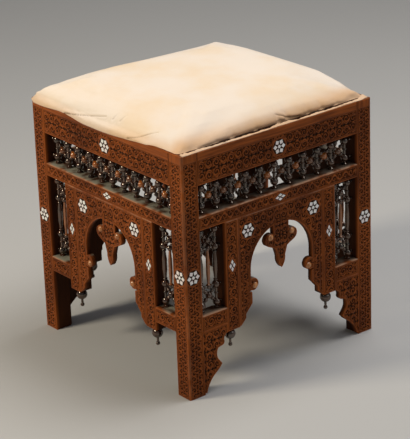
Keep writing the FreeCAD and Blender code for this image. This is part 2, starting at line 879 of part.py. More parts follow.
def seat_board():
    """The board under the padding, notched round the posts."""
    half = half_plan - rail_thickness - drop_in_gap
    notch = post_inner - drop_in_gap
    corners = []
    for index in range(len(SIDES)):
        turn = FreeCAD.Rotation(up, quarter_turn * index)
        for point in (Vector(-half, -notch, 0), Vector(-notch, -notch, 0), Vector(-notch, -half, 0)):
            corners.append(turn.multVec(point) + up * seat_underside)
    board = Part.Face(Part.makePolygon(corners + corners[:1])).extrude(up * seat_board_thickness)
    holes = [on_side(tack(s, d, glue_gap), index) for index in range(len(SIDES)) for s, d in tack_places()]
    return less(board, holes)


def at_share(table, share):
    """The value of a table of shares, straight between its entries."""
    for (low, start), (high, end) in zip(table, table[1:]):
        if share <= high:
            return start + (end - start) * (share - low) / (high - low)
    return table[-1][1]


def cushion_rise(x, y):
    """Height of the cushion at a point of its plan: a rolled edge of uneven height round a crown."""
    across = (x + cushion_half) / (2 * cushion_half)
    back = (y + cushion_front) / (cushion_half + cushion_front)
    edges = (
        (y + cushion_front, at_share(front_edge_shares, across)),
        (cushion_half - x, at_share(right_edge_shares, back)),
        (cushion_half - y, at_share(back_edge_shares, 1 - across)),
        (x + cushion_half, at_share(left_edge_shares, 1 - back)),
    )
    weights = [max(way, least_way) ** -2 for way, share in edges]
    edge = sum(weight * share for weight, (way, share) in zip(weights, edges)) / sum(weights)
    way = sum(weight ** 2 for weight in weights) ** -0.25
    roll = math.sqrt(1 - (1 - min(way / edge_roll, 1)) ** 2)
    swell = 1 - math.exp(-max(way - edge_roll / 2, 0) / crown_reach)
    return max(cushion_height * (edge * roll + (1 - edge) * swell), cushion_edge_height)


def cushion_section(y):
    """An upright section of the cushion, narrower where its corners are round."""
    corner = max(cushion_corner_radius - min(y + cushion_front, cushion_half - y), 0)
    half = cushion_half - cushion_corner_radius + math.sqrt(cushion_corner_radius ** 2 - corner ** 2)
    left = [step - half for step in cushion_steps]
    right = [half - step for step in reversed(cushion_steps)]
    line = [Vector(x, y, seat_top + cushion_rise(x, y)) for x in left + [0] + right]
    foot = [Vector(half, y, seat_top), Vector(-half, y, seat_top)]
    return Part.makePolygon(line + foot + line[:1])


def seat_cushion():
    """The upholstered pad: low along the front, fuller at the back and crowned over the top."""
    front = [step - cushion_front for step in cushion_steps]
    middle = (cushion_half - cushion_front) / 2
    back = [cushion_half - step for step in reversed(cushion_steps)]
    return Part.makeLoft([cushion_section(y) for y in front + [middle] + back], True, True)


# The whole stool, node by node


def side_nodes(side, index):
    """Every node that belongs to one side."""
    pieces = {
        "top_rail_" + side: [top_rail()],
        "mid_rail_" + side: [mid_rail()],
        "arch_board_" + side: [arch_board()],
        "upper_lattice_" + side: upper_lattice(),
        "side_lattice_" + side: side_lattice(),
        "seat_cleat_" + side: [seat_cleat()],
    }
    for name, end in ENDS.items():
        pieces["stile_" + side + "_" + name] = [stile(end)]
        pieces["lower_rail_" + side + "_" + name] = [lower_rail(end)]
        if side in BRACKET_SIDES:
            pieces["foot_bracket_" + side + "_" + name] = [foot_bracket(end)]
    return {name: [on_side(shape, index) for shape in shapes] for name, shapes in pieces.items()}


def small_pieces(side):
    """The small repeated pieces of one side, by the node that they share."""
    ends = ENDS.values()
    round_stud = aimed(stud(), outward)
    drop = finial()
    pieces = {
        "pearl_flowers": top_flower(),
        "pearl_diamonds": mid_diamond(),
        "scroll_studs": [placed(round_stud, s, 0, z) for s, z in stud_places()],
        "stile_finials": [
            placed(drop, end * stile_centre, rail_thickness / 2, stile_bottom) for end in ends
        ],
        "cleat_screws": [cleat_screw(s) for s in screw_places()],
        "cover_tacks": [tack(s, d) for s, d in tack_places()],
        "bracket_dowels": [],
    }
    for end in ends:
        pieces["pearl_flowers"] += spandrel_flower(end) + post_flower(end)
        pieces["pearl_diamonds"] += stile_diamond(end)
        if side in BRACKET_SIDES:
            pieces["bracket_dowels"] += [dowel(end, share) for share in dowel_height_shares]
    return pieces


nodes = {"corner_post_" + corner: [corner_post(index)] for index, corner in enumerate(CORNERS)}
for index, side in enumerate(SIDES):
    nodes.update(side_nodes(side, index))
    for name, shapes in small_pieces(side).items():
        nodes.setdefault(name, []).extend(on_side(shape, index) for shape in shapes)
nodes["seat_board"] = [seat_board()]
nodes["seat_cushion"] = [seat_cushion()]

os.makedirs("parts", exist_ok=True)
for name, shapes in nodes.items():
    shape = shapes[0] if len(shapes) == 1 else Part.makeCompound(shapes)
    shape.exportStep("parts/" + name + ".step")
    print(name, len(shapes), "solids,", "valid" if shape.isValid() else "not valid")
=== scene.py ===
import math

import bmesh
import bpy
import numpy as np
from mathutils import Matrix, Vector
from mathutils.bvhtree import BVHTree
from mathutils.kdtree import KDTree


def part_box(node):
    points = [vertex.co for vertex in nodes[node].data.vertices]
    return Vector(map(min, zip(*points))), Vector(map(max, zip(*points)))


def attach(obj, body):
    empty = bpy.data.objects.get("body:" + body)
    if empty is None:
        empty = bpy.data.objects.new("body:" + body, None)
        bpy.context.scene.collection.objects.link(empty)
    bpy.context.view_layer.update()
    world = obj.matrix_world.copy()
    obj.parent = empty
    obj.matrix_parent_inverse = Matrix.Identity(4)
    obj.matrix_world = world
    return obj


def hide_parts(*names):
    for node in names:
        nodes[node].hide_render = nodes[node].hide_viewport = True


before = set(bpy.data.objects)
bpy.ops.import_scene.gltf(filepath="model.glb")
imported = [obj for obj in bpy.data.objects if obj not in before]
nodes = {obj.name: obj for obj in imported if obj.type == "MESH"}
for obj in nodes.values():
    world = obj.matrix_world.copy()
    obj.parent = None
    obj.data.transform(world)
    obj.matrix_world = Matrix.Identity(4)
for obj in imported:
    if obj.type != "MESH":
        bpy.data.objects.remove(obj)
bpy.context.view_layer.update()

# A carved stool: fretted sides of dark wood, turned lattice, pearl inlay and a padded seat.
# Metres, Z up. Each side is made as the front, with X along it and Y into it, and turned about Z.
SIDES = ("front", "right", "back", "left")
CORNERS = ("front_left", "front_right", "back_right", "back_left")

# Sizes read from the frame
post_low, post_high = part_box("corner_post_front_left")
half_plan = -post_low.x
post_inner = -post_high.x
post_size = half_plan - post_inner
frame_height = post_high.z
top_low, top_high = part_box("top_rail_front")
mid_low, mid_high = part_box("mid_rail_front")
lower_low, lower_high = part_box("lower_rail_front_right")
stile_low, stile_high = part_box("stile_front_right")
pad_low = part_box("seat_cushion")[0]
rail_depth = top_high.y - top_low.y
mid_depth = mid_high.y - mid_low.y
lower_depth = lower_high.y - lower_low.y
stile_depth = stile_high.y - stile_low.y
face_plane = -half_plan + 0.00002

# Tolerances
weld = 1e-6
loose_weld = 1e-5
tiny = 1e-9
flat_angle = math.radians(0.5)
arris_angle = math.radians(60)

# Places of the inlay and the lattice on a side
post_arris = 0.004
flower_radius = 0.0135
top_flower = (0.0, 0.414)
spandrel_flower = (0.075, 0.280)
post_flower_height = 0.228
mid_diamond = (0.0, (mid_low.z + mid_high.z) / 2)
stile_middle = (stile_low.x + stile_high.x) / 2
stile_diamond = (stile_middle, 0.225)
diamond_reach = (0.012, 0.007)
diamond_slope = 0.85
lozenge_share = 0.86
column_step = 2 * post_inner / 11
upper_middle = (mid_high.z + top_low.z) / 2
panel_middle = (stile_high.x + post_inner) / 2
panel_height = (lower_high.z + mid_low.z) / 2
arch_radius = 0.071
arch_height = 0.204
arch_bead = 0.0045
arch_band = 0.0185

# Carving
carve_cell = 0.00095
carve_depth = 0.0015
border = 0.0042
border_blend = 0.0012
line_place = 0.0030
line_width = 0.0006
line_share = 0.55
arris_chamfer = 0.0007
seat_sink = 0.0004
seat_rim = 0.0028
row_size = 0.019
stem_half = 0.0009
coil_half = 0.00066
coil_pitch = 0.0046
ridge_slope = 0.0008
bay_share = 0.85
board_bay = 0.016
board_row = 0.018
# Darkness of the inner faces and of the carved grooves: painted shade
inner_shade = 0.85
inner_rim = 0.008
groove_shade = 0.75
socket_dark = 0.9
socket_blend = 0.0012
bed_depth = 0.003
mark_step = 0.0007
arris_overlap = 0.9
rail_plain_top = 0.012
post_plain_top = 0.012
# Width of the pale line along top arrises, and its share on the posts' outer corner: painted highlight
arris_line = 0.0016
post_arris_highlight = 0.15
# Dust on upward ledges by the grain's direction; the front and back rails get less than the side rails as
# painted shade
dust_and_shade_shares = {"x": 0.35, "y": 1.0, "z": 0.5}
joint_line = 0.0013
joint_dark = 0.95

# The vine motif, in shares of a row
stem_swing = 0.38
stem_slant = 0.85
coil_rise = 0.07
coil_turn = 0.12
coil_radius = 0.37
coil_eye = 0.06
eye_ground = 0.07
leaf_place = 0.31
leaf_radius = 0.135
leaf_stretch = 1.4
leaf_slit = 0.045
slit_slope = 1.2
bud_place = 0.47
bud_radius = 0.10
bud_stretch = (0.9, 1.6)

# Seat
seat_voxel = 0.005
seat_root = 0.010
seat_shrink = (1.000, 0.998, 1.000)
seat_pressure = 4.0
seat_steps = 20
seat_travel = 0.0055
travel_blend = 10
seat_lift = 0.0030
lift_blend = 0.010
front_undercut = 0.0035
undercut_rise = 0.006
undercut_reach = (0.030, 0.004)
side_reach = (0.2175, 0.2165)
corner_start = 0.2025
corner_fill = 0.12
corner_rise = 0.0055
corner_spread = 0.060
corner_top = 0.010
corner_blend = 0.006
full_corners = ((-half_plan, half_plan), (half_plan, -half_plan))
cover_clear = 0.0021
underside_lift = 0.0002
cloth_thickness = 0.0007
# The cover's overhang on the left rail: its drops, and where along Y they start, fade and end
cover_sag = 0.0105
cover_tail = 0.0040
sag_start = (-0.150, 0.010)
sag_fade = (0.050, 0.115)
sag_loss = 0.62
tail_start = (0.115, 0.185)
hang_end = (0.216, 0.204)
hang_rise = 0.022
hang_reach = (0.040, 0.008)
hang_low = (0.005, -0.001)
hang_blend = 0.001
# The raw hem: its run along X, its cut edge and its crumples as waves of height, rate and start
hem_start = -0.2105
hem_length = 0.4220
hem_width = 0.0046
hem_cells = (300, 4)
hem_inset = 0.0012
hem_lift = 0.0006
hem_soil = 0.9
bunch_run = (-0.186, -0.206)
bunch_height = 0.0014
bunch_rate = 620
bunch_slant = 5
far_run = (0.190, 0.2115)
far_turn = 0.0030
far_widening = 2
inner_rate = 1.7
inner_swell = 3
edge_waves = ((0.0005, 41, 1), (0.0003, 113, 2), (0.0002, 290, 0))
crumple_mean = 0.0008
crumple_waves = ((0.0009, 38, 1), (0.0006, 97, 0), (0.0003, 210, 2))
# Soil and painted shade on the cover: near its foot, and along the front
foot_soil_shade_rise = 0.011
foot_soil_shade = 0.7
front_soil_shade_rise = (0.026, 0.004)
front_soil_shade_reach = (0.060, 0.010)
# Puckers along the front edge: place along it, and depth
front_puckers = (
    (-0.192, 0.0030), (-0.171, 0.0022), (-0.128, 0.0016), (-0.092, 0.0024), (-0.041, 0.0016),
    (0.012, 0.0030), (0.031, 0.0036), (0.078, 0.0020), (0.110, 0.0030), (0.146, 0.0024), (0.183, 0.0020),
)
pucker_half = 0.006
pucker_reach = 0.014
pucker_rise = 0.004
pucker_drop = 0.6
drop_rise = (0.002, 0.012)
# Creases of the cover: places that they pass, depth and painted shade at both ends, and width
seat_creases = (
    (((-0.2167, 0.111, 0.447), (-0.2159, 0.083, 0.451), (-0.2097, 0.059, 0.454),
      (-0.2005, 0.009, 0.462)),
     (0.0011, 0.0012), (1.0, 0.1), 0.0012),
    (((-0.2174, -0.072, 0.448), (-0.2139, -0.087, 0.452), (-0.2060, -0.099, 0.456),
      (-0.1888, -0.122, 0.464)),
     (0.0012, 0.0010), (0.7, 0.1), 0.0013),
    (((-0.1999, -0.010, 0.462), (-0.1898, -0.012, 0.469)), (0.0010, 0.0004), (0.2, 0.0), 0.0018),
    (((-0.1983, -0.028, 0.463), (-0.1862, -0.032, 0.470)), (0.0010, 0.0004), (0.2, 0.0), 0.0018),
    (((0.0101, -0.196, 0.465), (0.0276, -0.202, 0.457), (0.0589, -0.203, 0.452)),
     (0.0010, 0.0024), (0.1, 0.7), 0.0015),
)
crease_reach = 0.012
crease_puff = 0.30
crease_steps = 4


def ease(low, high, value):
    """0 at low, 1 at high and a smooth step between them."""
    share = np.clip((value - low) / (high - low), 0, 1)
    return share * share * (3 - 2 * share)


def vine(along, across, bay, row):
    """Rows of a waving stem with a coil, leaves and buds in each bay: 0 on them, 1 in their ground."""
    line = np.floor(across / row)
    turn = np.floor(along / bay)
    y = across / row - line - 0.5
    x = (along / bay - turn - 0.5) * bay / row
    y = np.where((line + turn) % 2 == 0, y, -y)
    half = bay / row / 2
    stem = np.abs(y + stem_swing * np.cos(np.pi * x / (2 * half))) * stem_slant - stem_half / row
    rise = y - coil_rise
    reach = np.hypot(x, rise)
    pitch = coil_pitch / row
    coil = (reach / pitch - np.arctan2(rise, x) / (2 * np.pi) + coil_turn) % 1.0
    coil = np.abs(coil - 0.5) * pitch - coil_half / row
    coil = np.where(reach < coil_eye, eye_ground, coil)
    coil = np.maximum(coil, reach - coil_radius)
    leaf = np.hypot((np.abs(x) - half) * leaf_stretch, np.abs(y) - leaf_place) - leaf_radius
    leaf = np.maximum(leaf, leaf_slit - np.abs(np.abs(x) - half) * slit_slope)
    bud = np.hypot(x * bud_stretch[0], (y - bud_place) * bud_stretch[1]) - bud_radius
    ridge = np.minimum(np.minimum(stem, coil), np.minimum(leaf, bud))
    return ease(0.0, ridge_slope / row, ridge)


def relief(along, across, inside, edge, bay, row, seat, grooves=()):
    """Depth, darkness and wear of a carved face: inside is the way into the field, edge to an arris. The
    darkness in the carved ground and grooves is painted shade; round the inlay seats it is their dark bed.
    """
    field = ease(border, border + border_blend, inside) * ease(seat_rim, seat_rim + border_blend, seat)
    line = np.exp(-((inside - line_place) / line_width) ** 2)
    for groove in grooves:
        line = np.maximum(line, np.exp(-(groove / line_width) ** 2))
        field *= ease(line_width, line_width * 3, np.abs(groove))
    line *= ease(0, seat_rim, seat)
    ground = vine(along, across, bay, row) * field
    socket = ease(socket_blend, 0.0, seat)
    depth = carve_depth * np.maximum(ground, line_share * line)
    depth += seat_sink * socket + arris_chamfer * ease(arris_chamfer, 0, edge)
    # The carved ground and grooves are darkened as painted shade, the inlay seats as their dark bed
    dark = np.maximum(np.maximum(ground, groove_shade * line), socket_dark * socket)
    worn = (1 - field) * (1 - socket)
    return depth, dark, worn


def flower_way(s, z, centre):
    """How far a point is outside a round inlay."""
    return np.hypot(s - centre[0], z - centre[1]) - flower_radius


def diamond_way(s, z, centre, half_s, half_z):
    """How far a point is outside a diamond inlay."""
    share = np.abs(s - centre[0]) / half_s + np.abs(z - centre[1]) / half_z
    return (share - 1) * min(half_s, half_z) * diamond_slope


def read_points(mesh):
    """The places of a mesh's vertices."""
    points = np.empty(len(mesh.vertices) * 3, np.float32)
    mesh.vertices.foreach_get("co", points)
    return points.reshape(-1, 3).astype(float)


def write_points(mesh, points):
    """Moves a mesh's vertices."""
    mesh.vertices.foreach_set("co", points.astype(np.float32).ravel())
    mesh.update()


def write_share(mesh, name, values):
    """Keeps a share for each vertex, for the finishes to read."""
    layer = mesh.attributes.get(name) or mesh.attributes.new(name, "FLOAT", "POINT")
    layer.data.foreach_set("value", values.astype(np.float32))


class Carving:
    """A mesh with the depth, ground and wear that its faces are cut to."""

    def __init__(self, mesh):
        self.mesh = mesh
        self.points = read_points(mesh)
        inward = self.points[:, :2].min(axis=1) + half_plan
        # Faces away from the outer face, inside the stool, are darkened as painted shade
        self.dark = inner_shade * ease(post_arris, inner_rim, inward)
        self.worn = np.zeros(len(self.points))
        self.arris = np.zeros(len(self.points))

    def press(self, face, inward, cut, top=None, joint=None):
        """Cuts the chosen face inwards, with a painted highlight line along its top and dark lines at its
        joints.
        """
        depth, dark, worn = cut
        self.points[face] += np.outer(depth, inward)
        self.dark[face] = dark
        self.worn[face] = worn
        if top is not None:
            # A pale line along the top arris: painted highlight
            self.arris[face] = ease(arris_line, arris_line / 4, top)
        if joint is not None:
            self.dark[face] = np.maximum(dark, joint_dark * ease(joint_line, joint_line / 4, joint))

    def done(self):
        """The carved mesh, shaded smooth apart from its arrises."""
        write_points(self.mesh, self.points)
        # The ground share: painted shade in the carved ground, grooves and inner faces, with the dark
        # inlay beds and joints
        write_share(self.mesh, "ground", self.dark)
        write_share(self.mesh, "worn", self.worn)
        # The arris share: painted highlight
        write_share(self.mesh, "arris", self.arris)
        self.mesh.shade_smooth()
        self.mesh.set_sharp_from_angle(angle=arris_angle)
        return self.mesh


def shape_to_mesh(shape, name):
    """A bmesh as a mesh, with its faces pointing outwards."""
    bmesh.ops.recalc_face_normals(shape, faces=shape.faces)
    mesh = bpy.data.meshes.new(name)
    shape.to_mesh(mesh)
    shape.free()
    return mesh


def face_grid(width, height, place):
    """A fine upright grid that faces -Y, moved to its place."""
    shape = bmesh.new()
    size = Matrix.Diagonal((width / 2, 1, height / 2, 1))
    upright = Matrix.Rotation(math.pi / 2, 4, "X")
    columns = round(width / carve_cell)
    rows = round(height / carve_cell)
    matrix = Matrix.Translation(place) @ size @ upright
    bmesh.ops.create_grid(shape, x_segments=columns, y_segments=rows, size=1, matrix=matrix)
    return shape


def push_edges(shape, edges, vector):
    """Extrudes edges by a vector."""
    pushed = bmesh.ops.extrude_edge_only(shape, edges=edges)["geom"]
    verts = [part for part in pushed if isinstance(part, bmesh.types.BMVert)]
    bmesh.ops.translate(shape, verts=verts, vec=vector)


def open_edges(shape):
    """The edges that border one face."""
    return [edge for edge in shape.edges if edge.is_boundary]


def carved_bar(name, span, levels, depth, upright=False, plain_top=0.0, seats=()):
    """A rail or stile: a fine carved face with plain sides and back."""
    width = span[1] - span[0]
    height = levels[1] - levels[0]
    middle = ((span[0] + span[1]) / 2, -half_plan, (levels[0] + levels[1]) / 2)
    shape = face_grid(width, height, middle)
    for step in (inner_rim, depth - inner_rim):
        push_edges(shape, open_edges(shape), (0, step, 0))
    bmesh.ops.holes_fill(shape, edges=open_edges(shape))
    carving = Carving(shape_to_mesh(shape, name))
    face = carving.points[:, 1] < face_plane
    s = carving.points[face, 0]
    z = carving.points[face, 2]
    edge = np.minimum(np.minimum(s - span[0], span[1] - s), np.minimum(z - levels[0], levels[1] - z))
    inside = np.minimum(edge, levels[1] - plain_top - z)
    panel = (width if upright else height - plain_top) - 2 * border
    row = panel / max(1, round(panel / row_size))
    bay = row * bay_share
    seat = np.full(len(s), 1.0)
    for way in seats:
        seat = np.minimum(seat, way(s, z))
    if upright:
        cut = relief(z, s - span[0] - border, inside, edge, bay, row, seat)
    else:
        cut = relief(np.abs(s - middle[0]), z - levels[0] - border, inside, edge, bay, row, seat)
    ends = np.minimum(s - span[0], span[1] - s)
    carving.press(face, (0, 1, 0), cut, None if plain_top else levels[1] - z, None if upright else ends)
    return carving.done()


def corner_post():
    """The front left post: one fine strip bent round the outer arris, closed behind."""
    flat = post_size - post_arris
    arc = post_arris * math.pi / 2
    shape = face_grid(2 * flat + arc, frame_height, (0, 0, frame_height / 2))
    centre = post_arris - half_plan
    for vert in shape.verts:
        along = vert.co.x
        if abs(along) <= arc / 2:
            angle = math.radians(225) + along / post_arris
            vert.co.x = centre + post_arris * math.cos(angle)
            vert.co.y = centre + post_arris * math.sin(angle)
        elif along > 0:
            vert.co.x = centre + along - arc / 2
            vert.co.y = -half_plan
        else:
            vert.co.x = -half_plan
            vert.co.y = centre - along - arc / 2
    for step in (inner_rim, post_size - inner_rim):
        ends = [(edge, *(vert.co for vert in edge.verts)) for edge in open_edges(shape)]
        upright = [(edge, low) for edge, low, high in ends if abs(low.z - high.z) > weld]
        left = [edge for edge, low in upright if low.x < low.y]
        right = [edge for edge, low in upright if low.x >= low.y]
        push_edges(shape, left, (step, 0, 0))
        push_edges(shape, right, (0, step, 0))
    bmesh.ops.remove_doubles(shape, verts=shape.verts, dist=loose_weld)
    bmesh.ops.holes_fill(shape, edges=open_edges(shape))
    carving = Carving(shape_to_mesh(shape, "corner_post"))
    row = (post_size - 2 * border) / 2
    for axis, inward in ((0, (0, 1, 0)), (1, (1, 0, 0))):
        face = carving.points[:, 1 - axis] < face_plane
        face &= carving.points[:, axis] > -half_plan + post_arris * arris_overlap
        s = carving.points[face, axis] + half_plan
        z = carving.points[face, 2]
        edge = np.minimum(np.minimum(post_size - s, z), frame_height - z)
        inside = np.minimum(np.minimum(s, post_size - s), np.minimum(z, frame_height - post_plain_top - z))
        seat = flower_way(s, z, (post_size / 2, post_flower_height))
        carving.press(face, inward, relief(z, s - border, inside, edge, row * bay_share, row, seat))
    # The posts' outer corner takes the worn colour in full and some of the pale arris colour: a painted
    # highlight band
    corner = carving.points[:, :2].max(axis=1) < post_arris - half_plan
    carving.worn[corner] = 1
    carving.arris[corner] = post_arris_highlight
    return carving.done()


def merged_copy(node):
    """A CAD node's mesh as a bmesh with its loose triangles joined."""
    shape = bmesh.new()
    shape.from_mesh(nodes[node].data)
    bmesh.ops.remove_doubles(shape, verts=shape.verts, dist=weld)
    bmesh.ops.dissolve_limit(shape, angle_limit=flat_angle, verts=shape.verts, edges=shape.edges)
    return shape


def outer_faces(shape):
    """The faces that lie on the side's outer plane."""
    return [face for face in shape.faces if face.normal.y < -0.99 and face.verts[0].co.y < face_plane]


def outline_edges(shape):
    """The arrises of the outer plane, without those of the shallow inlay beds."""
    bed = -half_plan + bed_depth
    outline = []
    for face in outer_faces(shape):
        for edge in face.edges:
            others = [other for other in edge.link_faces if other is not face]
            if others and max(vert.co.y for vert in others[0].verts) > bed:
                outline.append(edge)
    return outline


def cut_grid(shape, low, high):
    """Divides the outer plane into fine cells."""
    faces = outer_faces(shape)
    geometry = set(faces)
    for face in faces:
        geometry.update(face.edges)
        geometry.update(face.verts)
    geometry = list(geometry)
    for axis in (2, 0):
        count = round((high[axis] - low[axis]) / carve_cell)
        normal = Vector((0, 0, 0))
        normal[axis] = 1
        for step in range(1, count):
            place = Vector((0, 0, 0))
            place[axis] = low[axis] + (high[axis] - low[axis]) * step / count
            cut = bmesh.ops.bisect_plane(shape, geom=geometry, dist=weld, plane_co=place, plane_no=normal)
            geometry = cut["geom"]


def carved_board(node, lay_out, bay, row, seats=(), top=None, sides=None):
    """A fretted board: the CAD outline with rounded arrises and a fine carved face."""
    shape = merged_copy(node)
    low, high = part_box(node)
    geometry = shape.verts[:] + shape.edges[:] + shape.faces[:]
    rim = (0, inner_rim - half_plan, 0)
    bmesh.ops.bisect_plane(shape, geom=geometry, dist=weld, plane_co=rim, plane_no=(0, 1, 0))
    outline = outline_edges(shape)
    marks = []
    for edge in outline:
        start, end = (vert.co for vert in edge.verts)
        steps = max(1, round((end - start).length / mark_step))
        marks += [start.lerp(end, step / steps) for step in range(steps)]
    tree = KDTree(len(marks))
    for index, mark in enumerate(marks):
        tree.insert(mark, index)
    tree.balance()
    bmesh.ops.bevel(shape, geom=outline, offset=arris_chamfer, offset_type="OFFSET", affect="EDGES",
                    segments=2, profile=0.5, material=-1)
    cut_grid(shape, low, high)
    carving = Carving(shape_to_mesh(shape, node + "_carved"))
    face = carving.points[:, 1] < face_plane
    s = carving.points[face, 0]
    z = carving.points[face, 2]
    edge = np.array([tree.find(point)[2] for point in carving.points[face]])
    seat = np.full(len(s), 1.0)
    for way in seats:
        seat = np.minimum(seat, way(s, z))
    along, across, grooves = lay_out(s, z)
    cut = relief(along, across, edge, edge + arris_chamfer, bay, row, seat, grooves)
    way_up = None if top is None else top - z
    way_out = None if sides is None else sides - np.abs(s)
    carving.press(face, (0, 1, 0), cut, way_up, way_out)
    return carving.done()


class Socket:
    """A material's socket, with the operators that the finishes use."""

    def __init__(self, finish, socket):
        self.finish = finish
        self.socket = socket

    def combine(self, operation, first, second):
        return self.finish.node("ShaderNodeMath", {"operation": operation}, {0: first, 1: second})

    def __add__(self, other):
        return self.combine("ADD", self, other)

    def __radd__(self, other):
        return self.combine("ADD", other, self)

    def __sub__(self, other):
        return self.combine("SUBTRACT", self, other)

    def __rsub__(self, other):
        return self.combine("SUBTRACT", other, self)

    def __mul__(self, other):
        return self.combine("MULTIPLY", self, other)

    def __rmul__(self, other):
        return self.combine("MULTIPLY", other, self)

    def __truediv__(self, other):
        return self.combine("DIVIDE", self, other)

    def __pow__(self, other):
        return self.combine("POWER", self, other)

    def __mod__(self, other):
        return self.combine("FLOORED_MODULO", self, other)

    def __abs__(self):
        return self.combine("ABSOLUTE", self, 0.0)


class Finish:
    """One material and the nodes that make it."""

    def __init__(self, name):
        self.material = bpy.data.materials.new(name)
        self.material.use_nodes = True
        self.tree = self.material.node_tree
        self.tree.nodes.clear()
        self.place = self.node("ShaderNodeTexCoord", output="Object")

    def node(self, kind, settings=None, inputs=None, output=0):
        """A node by its type, its settings and its sockets' values or links."""
        made = self.tree.nodes.new(kind)
        for name, value in (settings or {}).items():
            setattr(made, name, value)
        for name, value in (inputs or {}).items():
            if isinstance(value, Socket):
                self.tree.links.new(value.socket, made.inputs[name])
            else:
                made.inputs[name].default_value = value
        return Socket(self, made.outputs[output])

    def mix(self, share, first, second):
        """A colour between two."""
        inputs = {0: share, 6: first, 7: second}
        return self.node("ShaderNodeMix", {"data_type": "RGBA", "clamp_factor": True}, inputs, 2)

    def noise(self, scale, detail=3.0, roughness=0.5, stretch=None):
        """Cloudy noise, stretched along the grain where one is given."""
        place = self.place
        if stretch:
            place = self.node("ShaderNodeMapping", None, {"Vector": place, "Scale": stretch})
        inputs = {"Vector": place, "Scale": scale, "Detail": detail, "Roughness": roughness}
        return self.node("ShaderNodeTexNoise", None, inputs)

    def step(self, value, low, high):
        """0 below low, 1 above high and smooth between."""
        inputs = {"Value": value, "From Min": low, "From Max": high}
        return self.node("ShaderNodeMapRange", {"interpolation_type": "SMOOTHSTEP"}, inputs)

    def share(self, name):
        """A share that the mesh keeps for each vertex."""
        return self.node("ShaderNodeAttribute", {"attribute_name": name}, None, "Fac")

    def axis(self, name):
        """One coordinate of the place on the stool."""
        return self.node("ShaderNodeSeparateXYZ", None, {"Vector": self.place}, name)

    def bump(self, height, distance, strength=1.0):
        """A bumped normal."""
        inputs = {"Height": height, "Distance": distance, "Strength": strength}
        return self.node("ShaderNodeBump", None, inputs)

    def surface(self, colour, roughness, normal=None, constants=None):
        """The finished surface."""
        inputs = {"Base Color": colour, "Roughness": roughness}
        if normal:
            inputs["Normal"] = normal
        inputs.update(constants or {})
        shader = self.node("ShaderNodeBsdfPrincipled", None, inputs)
        self.node_output(shader)
        return self.material

    def node_output(self, shader):
        """Links a shader to the material's output."""
        made = self.tree.nodes.new("ShaderNodeOutputMaterial")
        self.tree.links.new(shader.socket, made.inputs["Surface"])


# Colours, linear
ridge_light = (0.338, 0.083, 0.015, 1)
ridge_dark = (0.137, 0.031, 0.008, 1)
# Near black of the carved ground, grooves and inner faces, which is painted shade, and of the inlay beds
# and joints
shade_and_joint_dark = (0.012, 0.005, 0.003, 1)
worn_light = (0.322, 0.089, 0.018, 1)
# Pale line along the arrises: painted highlight
arris_highlight_pale = (0.480, 0.270, 0.165, 1)
ledge_dust = (0.270, 0.260, 0.210, 1)
polish_tint = (1.000, 0.680, 0.420, 1)
turned_tint = (1.000, 0.860, 0.740, 1)
turned_dark = (0.010, 0.007, 0.006, 1)
turned_brown = (0.048, 0.015, 0.006, 1)
turned_gold = (0.360, 0.100, 0.013, 1)
stud_tan = (0.620, 0.260, 0.080, 1)
stud_brown = (0.340, 0.120, 0.034, 1)
pearl_white = (0.930, 0.930, 0.900, 1)
pearl_pink = (0.900, 0.800, 0.780, 1)
pearl_green = (0.740, 0.840, 0.800, 1)
board_pale = (0.420, 0.260, 0.130, 1)
board_brown = (0.260, 0.140, 0.064, 1)
steel_light = (0.420, 0.410, 0.390, 1)
steel_dark = (0.160, 0.140, 0.120, 1)
cloth_cream = (0.870, 0.755, 0.650, 1)
cloth_peach = (0.850, 0.670, 0.480, 1)
# Tan of the cover near its foot and along the front: soil and painted shade
cloth_soil_shade = (0.680, 0.400, 0.200, 1)
# Dark along the creases' folds: painted shade
cloth_fold_shade = (0.140, 0.080, 0.040, 1)
floor_pale = (0.520, 0.515, 0.510, 1)
floor_cloud = (0.470, 0.465, 0.460, 1)

# Scales of the finishes' grain, where dust starts, and the reach of the lattice's golden pieces
fibre_fine = 260.0
fibre_long = 14.0
pearl_streak = (900.0, 900.0, 160.0)
cloth_slub = (40.0, 900.0, 900.0)
weave_scale = 420.0
dust_start = 0.01
ball_reach = (0.0078, 0.0060)
spindle_reach = (0.0060, 0.0045)
spindle_half = (0.034, 0.030)


def grain_stretch(direction):
    """How the wood's fibre is stretched along one axis."""
    return tuple(fibre_long if axis == direction else fibre_fine for axis in "xyz")


